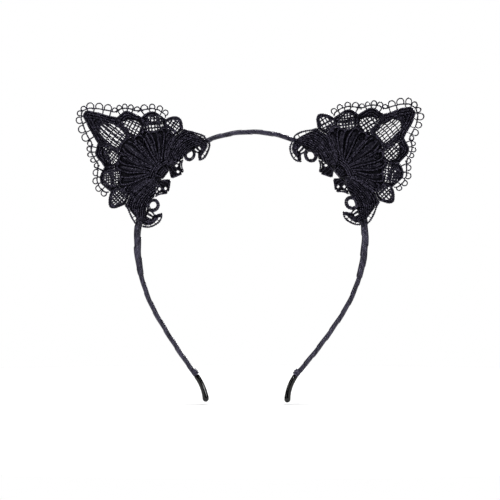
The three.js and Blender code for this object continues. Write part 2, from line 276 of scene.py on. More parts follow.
def dipped_material():
    """Dipped plastic: a wet gloss, with slight waves from the dip and a few scuffs."""
    shader = Shader("glossy_black_dip", IOR=1.4)
    waves = shader.noise(160, 1)
    scuffs = shader.noise(1500, 4, 0.7)
    scuffed = shader.node(
        "ShaderNodeValToRGB", {"stops": ((0.55, (0, 0, 0)), (0.75, (1, 1, 1)))}, {"Fac": scuffs}
    )
    shader.colour(scuffed, (0.001, 0.001, 0.0013), (0.003, 0.003, 0.0035))
    shader.set(Roughness=(waves * 0.04 + scuffed * 0.08 + 0.03).clamped())
    shader.bump(waves + scuffs * 0.03, 0.1 * MM, 0.4)
    return shader.material


def glue_material():
    """Set glue: a cloudy dark grey with a soft shine."""
    shader = Shader("set_textile_glue", Specular_IOR_Level=0.5)
    clouds = shader.noise(420, 3)
    shader.colour(clouds, (0.016, 0.015, 0.019), (0.07, 0.066, 0.075))
    shader.set(Roughness=(0.22 + clouds * 0.25).clamped())
    shader.bump(clouds, 0.15 * MM, 0.6)
    return shader.material


def steel_material():
    """Bare spring steel, for the core inside the ribbon."""
    shader = Shader("spring_steel", Metallic=1.0)
    drawn = shader.noise(900, 4, 0.6)
    shader.colour(drawn, (0.25, 0.25, 0.26), (0.5, 0.5, 0.52))
    shader.set(Roughness=(0.25 + drawn * 0.25).clamped())
    shader.bump(drawn, 0.02 * MM, 0.5)
    return shader.material


THREAD = thread_material()
SATIN = satin_material()
DIPPED = dipped_material()
GLUE = glue_material()
STEEL = steel_material()


# --------------------------------------
# Meshes and pieces


def face_outwards(shell):
    """Turns a closed shell the right way round."""
    if shell.calc_volume(signed=True) < 0:
        bmesh.ops.reverse_faces(shell, faces=shell.faces[:])


def as_mesh(work, name):
    """Turns a finished bmesh into a mesh."""
    mesh = bpy.data.meshes.new(name)
    work.to_mesh(mesh)
    work.free()
    return mesh


def spots_of(mesh):
    """The places of a mesh's points, one row each."""
    spots = np.empty(len(mesh.vertices) * 3)
    mesh.vertices.foreach_get("co", spots)
    return spots.reshape(-1, 3)


def cut(work, place, normal, **more):
    """Cuts a bmesh along a plane."""
    geometry = work.verts[:] + work.edges[:] + work.faces[:]
    bmesh.ops.bisect_plane(work, geom=geometry, plane_co=place, plane_no=normal, **more)


def spin(work, verts, edges, angle, steps, **more):
    """Turns a profile round the Z axis."""
    geometry = verts + edges
    middle, up = (0, 0, 0), (0, 0, 1)
    bmesh.ops.spin(work, geom=geometry, cent=middle, axis=up, angle=angle, steps=steps, **more)


def set_radius(vert, radius):
    """Moves a point straight in or out to a radius from the Z axis."""
    ratio = radius / hypot(vert.co.x, vert.co.y)
    vert.co.x *= ratio
    vert.co.y *= ratio


def linked(name, data):
    """A new object in the scene."""
    made = bpy.data.objects.new(name, data)
    bpy.context.scene.collection.objects.link(made)
    return made


def finish_piece(name, mesh, material, node):
    """Makes a piece of the object out of a mesh that is already in place, in metres."""
    mesh.name = name
    mesh.materials.clear()
    mesh.materials.append(material)
    mesh.polygons.foreach_set("use_smooth", [True] * len(mesh.polygons))
    piece = linked(name, mesh)
    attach(piece, BODY)
    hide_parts(node)
    return piece


# --------------------------------------
# Curves in the plan

SPLINE_STEPS = 12  # between two given points


def smooth(points, step):
    """Evenly spaced points along a smooth curve through the given ones, which keep any third value."""
    points = [np.array(point, float) for point in points]
    if len(points) > 2:
        ends = [2 * points[0] - points[1], *points, 2 * points[-1] - points[-2]]
        fine = [points[0]]
        for a, b, c, d in zip(ends, ends[1:], ends[2:], ends[3:]):
            for t in np.linspace(0, 1, SPLINE_STEPS + 1)[1:]:
                bend = 2 * b + (c - a) * t + (2 * a - 5 * b + 4 * c - d) * t * t
                fine.append((bend + (3 * b - a - 3 * c + d) * t**3) / 2)
        points = fine
    return evenly(np.array(points), step)


def evenly(points, step):
    """Points spaced about a step apart along a polyline."""
    gaps = np.linalg.norm(np.diff(points, axis=0), axis=1)
    far = np.concatenate([[0], np.cumsum(gaps)])
    count = max(2, round(far[-1] / step) + 1)
    stations = np.linspace(0, far[-1], count)
    return np.stack([np.interp(stations, far, axis) for axis in points.T], axis=1)


def offset(path, distance):
    """Moves a path sideways, to the right of its run."""
    along = np.gradient(path, axis=0)
    along /= np.linalg.norm(along, axis=1, keepdims=True)
    return path + distance * np.stack([along[:, 1], -along[:, 0]], axis=1)


def mirrored(path):
    """A path on the other side of the axis, run the other way."""
    return (np.array(path) * (-1, 1))[::-1]


def length_of(path):
    """The length of a polyline."""
    return np.linalg.norm(np.diff(path, axis=0), axis=1).sum()


def nearest(path, spot):
    """The point of a path that is closest to a spot."""
    return path[np.argmin(np.linalg.norm(path - spot, axis=1))]


# --------------------------------------
# Threadwork: lace drawn flat, x across the ear, y up it and z out of its face, in mm

CORD_STITCH, KNOT_STITCH, PETAL_STITCH = 0.44, 0.3, 0.8  # pitch of the stitches
CORD_RIDGE = 0.09  # how far every other stitch sinks, as a share of the radius
PETAL_FULLEST = 0.6  # where a petal is widest, as a share of its length
CORD_FACETS = 2  # resolution of a cord's round section
END_POINT, END_STEP = 0.01, 0.02  # radius of a cord's last ring, and how far on it is, in points
BED_THICK, BED_LIFT, BED_GRID = 0.3, 0.3, 3  # the grid is where a bed is cut so that it can bend
PETAL_SHEEN, THREAD_SHEEN = 0.15, 0.3  # how much painted highlight the thread gets, from 0 to 1


class Threadwork:
    """The cords, beads, knots and nets of one piece of lace."""

    def __init__(self, seed):
        self.cords, self.solids = {}, []
        self.random = random.Random(seed)
        self.glint_draws = random.Random(seed + 1000)  # draws how much painted highlight each cord gets

    def keep(self, squash, lift, *cord):
        """Puts a cord with those that are flattened and lifted as it is."""
        self.cords.setdefault((squash, lift), []).append(cord)

    def cord(self, path, width, thick, lift=0.0, ends=None, stitch=CORD_STITCH, beads=None, sheen=None):
        """A satin-stitched cord with ridges across it; beads is the pitch of bullion knots on it."""
        path = smooth(path, stitch / 2)
        length = length_of(path)
        stations = np.linspace(0, length, len(path))
        radii = width / 2 * self.unevenness(stations, 1.3, 0.07)
        radii *= 1 + 0.13 * np.sin(2 * pi * stations / 1.25 + self.random.uniform(0, 6))
        radii[1::2] *= 1 - CORD_RIDGE
        if beads:
            radii *= 0.62 + 0.38 * np.abs(np.sin(pi * stations / beads)) ** 0.8
        for near, reach in zip((stations, length - stations), ends or (width / 2, width / 2)):
            closing = np.clip(1 - near / max(reach, 1e-3), 0, 1)
            radii *= np.sqrt(np.clip(1 - closing**2, 0.04, 1))
        rise = 2.2 * (self.unevenness(stations, 0.55, 0.06) - 0.97)
        path = np.column_stack([path[:, :2], rise * min(1.0, width)])
        sheen = self.glint_draws.uniform(0.1, 0.8) if sheen is None else sheen
        self.keep(thick / width, lift, path, radii, stations, sheen)

    def unevenness(self, stations, reach, amount):
        """Hand-made variation around 1, a little different every time."""
        phases = [self.random.uniform(0, 2 * pi) for _ in range(3)]
        waves = [np.sin(stations / reach / k + phase) for k, phase in zip((1, 0.53, 0.31), phases)]
        return 1 + amount * (waves[0] + 0.7 * waves[1] + 0.5 * waves[2])

    def petal(self, path, width, thick):
        """A padded satin petal: narrow at its start, widest at a share of its length, round-ended."""
        path = smooth(path, PETAL_STITCH / 4)
        length = length_of(path)
        share = np.linspace(0, 1, len(path))
        rise = np.clip(share / PETAL_FULLEST, 0, 1)
        fall = np.clip((share - PETAL_FULLEST) / (1 - PETAL_FULLEST), 0, 1)
        shape = (0.32 + 0.68 * np.sin(rise * pi / 2)) * np.sqrt(np.clip(1 - fall**2.6, 0.03, 1))
        radii = width / 2 * shape * self.unevenness(share * length, 1.1, 0.04)
        radii *= 1 + 0.1 * np.cos(2 * pi * share * length / PETAL_STITCH)
        self.keep(thick / width, 0.0, path, radii, share * length, PETAL_SHEEN)

    def thread(self, path, width, lift, waver=0.08, step=0.8):
        """A plain thread, slightly uneven in line and thickness."""
        path = smooth(path, step)
        drift = [[self.random.gauss(0, waver) for _ in range(2)] for _ in path]
        drift[0] = drift[-1] = (0, 0)
        path = path[:, :2] + np.array(drift)
        radii = np.array([width / 2 * self.random.uniform(0.85, 1.15) for _ in path])
        stations = np.linspace(0, length_of(path), len(path))
        self.keep(1.0, lift, path, radii, stations, THREAD_SHEEN)

    def knot(self, place, radius, thick, lift=0.0):
        """A small round knot, worked as a turn of cord."""
        turns = [(place[0] + radius * 0.2, place[1]), place, (place[0] - radius * 0.2, place[1])]
        self.cord(turns, radius * 2, thick, lift, (radius, radius), KNOT_STITCH)

    def net(self, loop, direction, pitches, width, lift):
        """Two crossing rows of threads that fill a loop, the first row along the direction."""
        for turn, pitch, rise in ((0, pitches[0], 0), (90, pitches[1], width * 0.5)):
            angle = radians(direction + turn)
            run, side = np.array((cos(angle), sin(angle))), np.array((-sin(angle), cos(angle)))
            reach = loop @ side
            first = ceil(reach.min() / pitch)
            for k in range(first, int(reach.max() // pitch) + 1):
                across = k * pitch + self.random.gauss(0, pitch * 0.1)
                cuts = crossings(loop, side, across, run)
                for start, end in zip(cuts[::2], cuts[1::2]):
                    if end - start > pitch * 0.5:
                        ends = [side * across + run * t for t in (start - 0.6, end + 0.6)]
                        self.thread(ends, width * self.random.uniform(0.8, 1.3), lift + rise)
                        for t in np.arange(start, end, pitches[0]):
                            if self.random.random() < 0.4:
                                place = side * across + run * t
                                self.knot(place, self.random.uniform(0.42, 0.62), 0.8, lift)

    def plate(self, edge, holes=()):
        """A thin bed of close stitches that the cords are worked over."""
        bed = bmesh.new()
        for loop in (edge, *holes):
            verts = [bed.verts.new((x, y, BED_LIFT)) for x, y in loop]
            for pair in zip(verts, verts[1:] + verts[:1]):
                bed.edges.new(pair)
        bmesh.ops.triangle_fill(bed, use_beauty=True, edges=bed.edges[:], normal=(0, 0, 1))
        for axis, normal in enumerate(((1, 0, 0), (0, 1, 0))):
            reach = [vert.co[axis] for vert in bed.verts]
            for distance in np.arange(min(reach) + BED_GRID, max(reach), BED_GRID):
                cut(bed, Vector(normal) * distance, normal)
        raised = bmesh.ops.extrude_face_region(bed, geom=bed.faces[:], use_keep_orig=True)
        lifted = [part for part in raised["geom"] if isinstance(part, bmesh.types.BMVert)]
        bmesh.ops.translate(bed, vec=(0, 0, BED_THICK), verts=lifted)
        bmesh.ops.recalc_face_normals(bed, faces=bed.faces[:])
        # The bed mark makes the thread material paint it near black, as painted shade under the cords
        along, marked = [bed.verts.layers.float.new(word) for word in ("along", "bed")]
        for vert in bed.verts:
            vert[along], vert[marked] = vert.co.y, 1
        self.solids.append(as_mesh(bed, "plate"))

    def mesh(self):
        """Everything swept, flattened to its thickness and joined as one bmesh."""
        work = bmesh.new()
        for word in ("along", "bed", "sheen"):
            work.verts.layers.float.new(word)
        for (squash, lift), cords in self.cords.items():
            swept = sweep(cords)
            spots = spots_of(swept)
            spots[:, 2] *= squash
            spots[:, 2] += lift + tallest(swept, cords, squash)
            swept.vertices.foreach_set("co", spots.ravel())
            work.from_mesh(swept)
            bpy.data.meshes.remove(swept)
        close_ends(work)
        for mesh in self.solids:
            work.from_mesh(mesh)
            bpy.data.meshes.remove(mesh)
        return work


def close_ends(work):
    """Draws the tiny open ring at each cord's end together to a point."""
    rings = [vert for vert in work.verts if vert.is_boundary]
    bmesh.ops.remove_doubles(work, verts=rings, dist=0.05)


def tallest(swept, cords, squash):
    """How far each vertex's own cord must rise for it to rest on its lift."""
    rings = [len(path) + 2 for path, _, _, _ in cords]
    rises = [np.max(radii) * squash for _, radii, _, _ in cords]
    return np.repeat(rises, np.array(rings) * (len(swept.vertices) // sum(rings)))


def sweep(cords):
    """Round cords along paths, as one mesh with the distance along each kept on its points."""
    curve = bpy.data.curves.new("cords", "CURVE")
    curve.dimensions = "3D"
    curve.bevel_depth = 1.0
    curve.bevel_resolution = CORD_FACETS
    for path, radii, _, _ in cords:
        spline = curve.splines.new("POLY")
        spline.points.add(len(path) + 1)
        flat = np.zeros((len(path) + 2, 4))
        flat[1:-1, : path.shape[1]] = path
        for end, last, before in ((0, 1, 2), (-1, -2, -3)):
            flat[end] = flat[last] * (1 + END_STEP) - flat[before] * END_STEP
        flat[:, 3] = 1
        spline.points.foreach_set("co", flat.ravel())
        spline.points.foreach_set("radius", np.concatenate([[END_POINT], radii, [END_POINT]]))
    holder = bpy.data.objects.new("cords", curve)
    mesh = bpy.data.meshes.new_from_object(holder)
    bpy.data.objects.remove(holder)
    bpy.data.curves.remove(curve)
    along = np.concatenate([np.pad(stations, 1, "edge") for _, _, stations, _ in cords])
    # Each cord's sheen, the share of painted highlight it gets, goes on its points
    sheens = np.concatenate([np.full(len(stations) + 2, sheen) for _, _, stations, sheen in cords])
    per_ring = len(mesh.vertices) // len(along)
    for word, values in (("along", along), ("sheen", sheens)):
        layer = mesh.attributes.new(word, "FLOAT", "POINT")
        layer.data.foreach_set("value", np.repeat(values, per_ring))
    return mesh


def crossings(loop, side, across, run):
    """Where a line across a loop crosses it, as sorted distances along the run."""
    found = []
    for a, b in zip(loop, np.roll(loop, -1, axis=0)):
        from_a, from_b = a @ side - across, b @ side - across
        if from_a * from_b < 0:
            found.append((a + (b - a) * from_a / (from_a - from_b)) @ run)
    return sorted(found)


# --------------------------------------
# The ear's plan: borders between its pieces on the +X half, as (up, across) in mm

PLAN_STEP = 0.6
BORDERS = {
    "peak_rim": ((60.2, 0), (59.5, 2.2), (56, 4), (53, 5.5), (48.5, 7.2), (46, 8.2), (43.5, 9.4)),
    "rim_1": ((43.5, 9.4), (42.6, 12.2), (41.7, 15.2), (39.2, 17.3), (35.8, 17.9), (32.4, 18.35)),
    "rim_2": ((32.4, 18.35), (31.9, 20.8), (30.6, 23.4), (28, 25.2), (24.4, 25.5), (20.4, 25.9)),
    "rim_3": (
        (20.4, 25.9), (19.4, 28.3), (17.3, 31), (14.8, 32.3), (12.3, 31.2), (10.4, 28.8), (9.3, 27.1)
    ),
    "leaf_rim": ((9.3, 27.1), (6.5, 28.2), (4.5, 29.5), (2, 31), (-0.5, 32), (-3.2, 32.4), (-5.6, 30.9)),
    "peak_seam": ((43.5, 9.4), (39, 7.3), (34, 6), (30.2, 4.9)),
    "fan_top": ((30.2, 4.9), (31.5, 2.8), (31.9, 0)),
    "seam_12": ((32.4, 18.35), (30, 16.4), (27.5, 14)),
    "seam_23": ((20.4, 25.9), (19, 23.5), (17.5, 21)),
    "seam_3_leaf": ((9.3, 27.1), (9.8, 24.5), (10.8, 21.8)),
    "fan_edge_1": ((30.2, 4.9), (28.4, 7.4), (27, 10.6), (27.5, 14)),
    "fan_edge_2": ((27.5, 14), (24.4, 12.9), (21.8, 14.8), (19.9, 18), (17.5, 21)),
    "fan_edge_3": ((17.5, 21), (14, 20.6), (10.8, 21.8)),
    "fan_foot": ((10.8, 21.8), (9.8, 17.8), (8.8, 12.6), (7, 7.6), (4, 4.2), (1.2, 2.7)),
    "leaf_foot": ((1.2, 2.7), (2.2, 5), (1.6, 8), (0.2, 11), (-1.35, 13.6)),
    "leaf_scroll": (
        (-1.35, 13.6), (-0.6, 15.4), (-0.5, 18), (-1.2, 21), (-3, 24.5), (-4.4, 28), (-5.6, 30.9)
    ),
    "tail_foot": ((-2.3, 0), (-3.5, 2.5), (-5, 5.5), (-6, 7.2)),
    "tail_heel": ((-6, 7.2), (-5.4, 8.1), (-3.3, 9), (-1.9, 11), (-1.35, 13.6)),
    "curl_outer": ((-9.6, 18.5), (-11.2, 20.6), (-11.7, 23.2), (-10.8, 26.3), (-8.9, 29), (-5.6, 30.9)),
}


def at(*points):
    """Plan points (up, across) as (x, y) places."""
    return [(point[1], point[0]) for point in points]


def border(name):
    """A border by its name, run backwards if the name starts with a minus."""
    path = smooth(at(*BORDERS[name.lstrip("-")]), PLAN_STEP)
    return path[::-1] if name.startswith("-") else path


def outline(*names):
    """Borders joined end to end, without the last one's end."""
    return np.concatenate([border(name)[:-1] for name in names])


def both(path):
    """A path from the axis outwards, made whole across it."""
    return np.concatenate([mirrored(path)[:-1], np.array(path)])


def drawn_in(loop, distance):
    """A closed outline drawn in by a distance."""
    loop = np.array(loop)
    before, after = np.roll(loop, 1, axis=0), np.roll(loop, -1, axis=0)
    along = after - before
    along /= np.linalg.norm(along, axis=1, keepdims=True)
    x, y = loop.T
    turns = np.sign(np.sum(x * np.roll(y, -1) - y * np.roll(x, -1)))
    return loop + distance * turns * np.stack([-along[:, 1], along[:, 0]], axis=1)


def closed(*points):
    """A smooth closed loop through plan points."""
    return smooth(at(*points, points[0]), PLAN_STEP)[:-1]


def on_side(path, side):
    """A path as it is on the +X half, or as it is on the other for a side of -1."""
    return np.array(path) * (side, 1)


PEAK_WINDOW = (
    (48, 0), (47.4, 2.1), (45.4, 3.7), (42, 4.7), (37.5, 5.3), (34, 5.1), (32.8, 3), (33, 0)
)
SCALLOP_WINDOWS = {
    1: (
        (28.7, 8), (28.2, 11), (29.2, 13.6), (32.2, 14.6), (35.2, 13.6), (37.6, 11.6), (38.6, 9.6),
        (40.6, 8.4), (38.8, 7.5), (35, 6.9), (31, 6.5),
    ),
    2: (
        (29.5, 19.6), (28.8, 22.4), (26.2, 24), (23, 24.2), (21.4, 22.8), (19.4, 21.4), (19.4, 19.4),
        (21, 17.2), (23, 15.3), (25.4, 14.2), (27.1, 15.2), (28.6, 17.4),
    ),
    3: (
        (18.8, 24.6), (18.6, 27), (16.8, 29.5), (14.6, 30.4), (12.7, 28.8), (11.3, 26.2), (11.9, 22.4),
        (12.9, 21.4), (15, 21), (17, 21.2), (18, 22.8),
    ),
}


RIM_CORD, SEAM_CORD = 1.16, 0.82
NET_LIFT = 0.3
NET_HEIGHTS = (34.4, 37.4, 40.5, 44.1)  # of the threads across the peak's window
FIRM, CLOSE = 1.02, 1.2  # tightness: scallop 2 gets cords over its net between these, 1 above both


def peak_work(seed):
    """The peak's petal: cords nested inside its rim, a padded head and an arch over the window."""
    work = Threadwork(seed)
    rim = border("peak_rim")
    half = np.concatenate([rim[:-1], border("peak_seam")[:-1], border("fan_top")])
    window = smooth(at(*PEAK_WINDOW), 0.5)
    hole = np.concatenate([window[:-1], mirrored(window)[:-1]])
    work.plate(drawn_in(np.concatenate([half[:-1], mirrored(half)[:-1]]), 0.25), (hole,))
    for inset, thick in ((0.68, 1.35), (2.05, 1.5), (3.45, 1.6)):
        path = offset(rim, inset)
        work.cord(both(path[path[:, 0] >= 0]), RIM_CORD, thick)
    arch = at((53.2, 0), (52.4, 1.8), (50, 3.5), (46, 4.7), (42, 5.4), (37, 5.9), (33.4, 5.6), (30.8, 4.7))
    work.cord(both(arch), 1.0, 1.35)
    for side in (-1, 1):
        for inset in (0.45, 1.35):
            work.cord(on_side(offset(border("peak_seam"), inset), side), 0.85, 1.25)
        for across, low, high in ((0.75, 47.6, 52), (1.9, 46.8, 51.2), (2.9, 45.6, 50)):
            across += work.random.uniform(-0.15, 0.15)
            work.petal(on_side(at((low, across), (high, across * 0.7)), side), 1.2, 1.0)
        turn = [(50.3 + 0.9 * cos(a), side * 1.9 + 0.9 * sin(a)) for a in np.linspace(0, 5.4, 12)]
        work.cord(at(*turn), 0.55, 1.3)
        work.knot((1.1 * side, 58.1), 0.7, 1.5)
    work.cord(both(offset(border("-fan_top"), -0.5)), 1.0, 1.0)
    return work


def peak_net_work(seed, tightness):
    """The window's net: uneven threads up the ear, crossed by four and knotted where they meet."""
    work = Threadwork(seed)
    for k in range(-5, 6):
        across = k * 1.62 / tightness + work.random.uniform(-0.3, 0.3)
        if abs(across) > 5.3:
            continue
        for height in NET_HEIGHTS:
            if work.random.random() < 0.6:
                work.knot((across * 0.98, height), work.random.uniform(0.5, 0.68), 0.8, NET_LIFT)
        top = 48.9 - abs(across) * 0.5
        path = at((32.2, across * 0.94), (36, across), (42, across * 0.96), (top, across * 0.84))
        work.thread(path, work.random.uniform(0.66, 1.0), NET_LIFT, 0.12)
    for height in NET_HEIGHTS:
        reach = 5.3 - max(0, height - 40) * 0.28
        work.thread(both(at((height + 0.3, 0), (height, 2.6), (height - 0.2, reach))), 0.72, 0.5)
    return work


def scallop_work(seed, number, tightness):
    """A scallop: nested rim cords, a cord on each inner edge, and a net in its window."""
    work = Threadwork(seed)
    inner = {
        1: ("seam_12", "-fan_edge_1", "-peak_seam"),
        2: ("seam_23", "-fan_edge_2", "-seam_12"),
        3: ("seam_3_leaf", "-fan_edge_3", "-seam_23"),
    }[number]
    window = closed(*SCALLOP_WINDOWS[number])
    loop = outline(f"rim_{number}", *inner)
    work.plate(drawn_in(loop, 0.12), (window,))
    rim = border(f"rim_{number}")
    insets = {1: (0.62, 2.05, 3.4), 2: (0.62, 2.05), 3: (0.6, 1.6)}[number]
    for k, inset in enumerate(insets):
        trim = round(k * 1.4)
        end = -round(len(rim) * 0.25) if k == 2 else len(rim) - trim
        work.cord(offset(rim, inset)[trim:end], RIM_CORD, 1.5 - 0.08 * k)
    for name in inner:
        for inset in (0.3, 1.1) if name.startswith("-peak") else (0.3,):
            work.cord(offset(border(name), inset), SEAM_CORD, 1.2)
    direction, pitches = {1: (97, (1.8, 1.95)), 2: (130, (1.75, 1.7)), 3: (95, (1.9, 1.8))}[number]
    pitches = [pitch / tightness for pitch in pitches]
    work.net(window, direction + work.random.uniform(-8, 8), pitches, 0.86, NET_LIFT)
    if number == 1 and tightness > CLOSE:
        for top in ((38.6, 8.2), (36.8, 7.4), (35, 7.2)):
            path = at(top, (top[0] - 0.6, 10.4), (top[0] - 3.2, 13.2), (top[0] - 5.6, 14.4))
            work.cord(path, 1.2, 1.1)
    if number == 2:
        if FIRM < tightness < CLOSE:
            for inset, trim in ((3.3, 5), (4.5, 8)):
                work.cord(offset(rim, inset)[trim:-trim], 1.1, 1.1)
        sway = work.random.uniform(-0.8, 0.8)
        for shift in (-0.8, 0, 0.8):
            path = at((29.2, 18), (25.8, 18.8 + sway), (23, 20.6), (21, 22.4))
            work.cord(np.array(path) + (shift, 0), 0.85, 0.95)
        for k in range(5):
            path = at((19.4 + k * 1.7, 20.8 - k * 1.3), (21.6 + k * 1.6, 22.6 - k * 1.4))
            work.thread(path, 0.55, 0.4)
    if number == 3:
        for across in (21.5, 22.55, 23.6):
            work.cord(at((18.4, across - 0.1), (15, across + 0.1), (11.6, across)), 1.0, 1.1)
        work.knot((31.4, 14.8), 0.8, 1.1)
    return work


def fan_work(seed):
    """The shell: padded petals that spread from the foot, with a cord between each two."""
    work = Threadwork(seed)
    names = ("-fan_top", "fan_edge_1", "fan_edge_2", "fan_edge_3", "fan_foot")
    half = np.concatenate([border(name)[:-1] for name in names] + [border("fan_foot")[-1:]])
    slot = closed((22.2, 10.2), (21.2, 10.4), (19.6, 9.5), (20.6, 9.2))
    bed = drawn_in(np.concatenate([half, mirrored(half)[:-1]]), 0.1)
    work.plate(bed, (slot, mirrored(slot)))
    work.petal(at((10.3, 0), (20, 0), (30.6, 0)), 4.2, 1.1)
    work.cord(both(offset(border("-fan_top"), 0.15)), 0.95, 1.2)
    for side in (-1, 1):
        for name in ("fan_edge_1", "fan_edge_2", "fan_edge_3"):
            work.cord(on_side(offset(border(name), -0.2), side), 0.75, 1.15)
        petals = (
            (((11, 1.9), (18, 4), (26.2, 6.7)), 3.4),
            (((10.4, 3.3), (16.4, 8), (24.6, 11.9)), 3.0),
            (((9.7, 4.8), (13.6, 11.2), (19.4, 17)), 3.5),
            (((9, 6.8), (11.8, 13.4), (13.2, 20.4)), 3.2),
        )
        for path, width in petals:
            work.petal(on_side(at(*path), side), width, 1.0)
        cords = (
            ((9.2, 0.7), (16, 2), (22, 2.9), (26.4, 3.4), (30, 2.4)),
            ((9.4, 1.5), (16, 2.9), (22, 4), (26.4, 4.6), (29.3, 5.2)),
            ((9.4, 2.5), (17, 6), (23, 8.9), (26.6, 9.3), (28.3, 7.4), (28, 5.6), (26.2, 5.4)),
            ((9, 3.6), (15.4, 9), (19, 11.7), (24.4, 13.6), (26.4, 12.4), (26.4, 10.4)),
            ((8.8, 4.4), (13.6, 10.4), (17, 13.8), (20.4, 15.8), (23.4, 14.8)),
            ((8.6, 5.7), (12.2, 12.2), (15.2, 17), (18, 19.2), (20, 17.6), (20.4, 15.9)),
            ((8, 7.4), (10.6, 14.2), (11.6, 19.6), (13.2, 21), (15, 20.2), (14.9, 18)),
            ((7.2, 6.6), (9.4, 13.4), (10.4, 19), (10.8, 21.6)),
            ((6.2, 5.8), (8.2, 11.6), (9.5, 17.6), (10.1, 21)),
            ((5, 5), (7, 9.2), (8.5, 14), (9.2, 17.6)),
        )
        # The radial cords get full sheen, so the most painted highlight
        for path in cords:
            work.cord(on_side(at(*path), side), 0.95, 2.0, ends=(0.5, 0.5), sheen=1.0)
        for path, width in (
            (((1, 2.3), (3.4, 2.5), (5.8, 3.2)), 0.9),
            (((1.6, 3.4), (3.8, 4.6), (5.4, 6.2)), 0.9),
            (((2.4, 1), (3.6, 1.2), (5.6, 1.1)), 0.8),
        ):
            work.cord(on_side(at(*path), side), width, 1.25)
        work.knot((3.9 * side, 4.9), 1.0, 1.5)
        eye = [(24 + 1.5 * cos(a), 6.6 + 1.3 * sin(a)) for a in np.linspace(0.6, 5.6, 14)]
        work.cord(on_side(at(*eye), side), 0.5, 1.95)
    # The base bars get nearly full sheen, so much painted highlight
    for low, width, fall in ((9, 1.05, 1.2), (7.9, 1.0, 1.9), (6.9, 1.0, 2.2)):
        work.cord(both(at((low, 0), (low - fall * 0.25, 3), (low - fall, 6.4))), width, 1.75, sheen=0.9)
    for low in (1.4, 2.6, 3.8, 5.0):
        work.cord(both(at((low, 0), (low, 2.2))), 0.85, 1.0)
    return work


LEAF_EDGE = ((9.3, 27.1), (6.6, 27.5), (4.4, 28.5), (2, 29.1), (-0.5, 29.8), (-2.8, 30.1), (-4.6, 29.6))


def leaf_work(seed):
    """A leaf: flowing cords side by side over a bed, inside a beaded edge that stands off it."""
    work = Threadwork(seed)
    edge = smooth(at(*LEAF_EDGE), PLAN_STEP)
    others = outline("-leaf_scroll", "-leaf_foot", "-fan_foot", "-seam_3_leaf")
    work.plate(drawn_in(np.concatenate([edge[:-1], others]), 0.12))
    flow = (
        ((3.6, 4.8), (7.2, 9.2), (8.8, 14), (9.5, 19), (9.2, 23.6), (7.9, 26.6)),
        ((3, 4.6), (6.6, 9.6), (8, 15), (8.4, 20), (7.4, 24.6), (5.6, 27)),
        ((2.7, 5), (5.7, 9.8), (6.9, 15), (7.2, 20), (5.8, 24.8), (3.2, 27.7)),
        ((2.4, 5.6), (4.9, 10.2), (5.8, 15), (6, 20), (4.3, 24.9), (1.2, 28.6)),
        ((2, 6.4), (4, 10.6), (4.7, 15), (4.8, 20), (2.9, 25), (-0.7, 29.2)),
        ((1.6, 7.4), (3, 11.2), (3.6, 15.2), (3.5, 20), (1.6, 25), (-2.4, 29.6)),
        ((1.2, 9), (2.1, 12), (2.5, 15.6), (2.2, 20), (0.4, 24.8), (-3.6, 29.4)),
        ((0.4, 10.8), (1.1, 13), (1.4, 16), (1, 20), (-0.8, 24.4), (-4.4, 28.9)),
        ((-0.8, 13.2), (0.1, 15), (0.3, 17.8), (-0.2, 20.6), (-2, 24), (-4.2, 27.4)),
    )
    for k, path in enumerate(flow):
        lower = 0.25 * (k % 2) + work.random.uniform(0, 0.15)
        work.cord(at(*path), 1.04, 1.8 - lower, ends=(1.0, 0.8))
    for start, end in ((0.12, 0.3), (0.4, 0.62), (0.55, 0.85)):
        path = smooth(at(*flow[work.random.randrange(2, 6)]), 0.5)
        piece = path[round(start * len(path)) : round(end * len(path))]
        work.cord(offset(piece, 0.5), 0.55, 0.5, 1.3)
    work.cord(offset(edge, 0.35), 0.7, 1.1)
    rim = offset(border("leaf_rim"), 0.1)
    near = np.array([nearest(edge, spot) for spot in rim])
    gap = work.random.choice((0.35, 1.0))
    bead_line = near + (rim - near) * np.maximum(gap, 1.6 / (1.6 + np.linspace(0, 6, len(rim))))[:, None]
    work.cord(bead_line, 1.3, 1.0, beads=1.1)
    for k in range(1, len(bead_line) - 2, 6):
        spot = bead_line[k + work.random.randrange(-1, 2)]
        inner = nearest(edge, spot)
        work.thread([spot, inner * 1.2 - spot * 0.2], 0.5, 0.3, 0.02, 0.5)
    return work


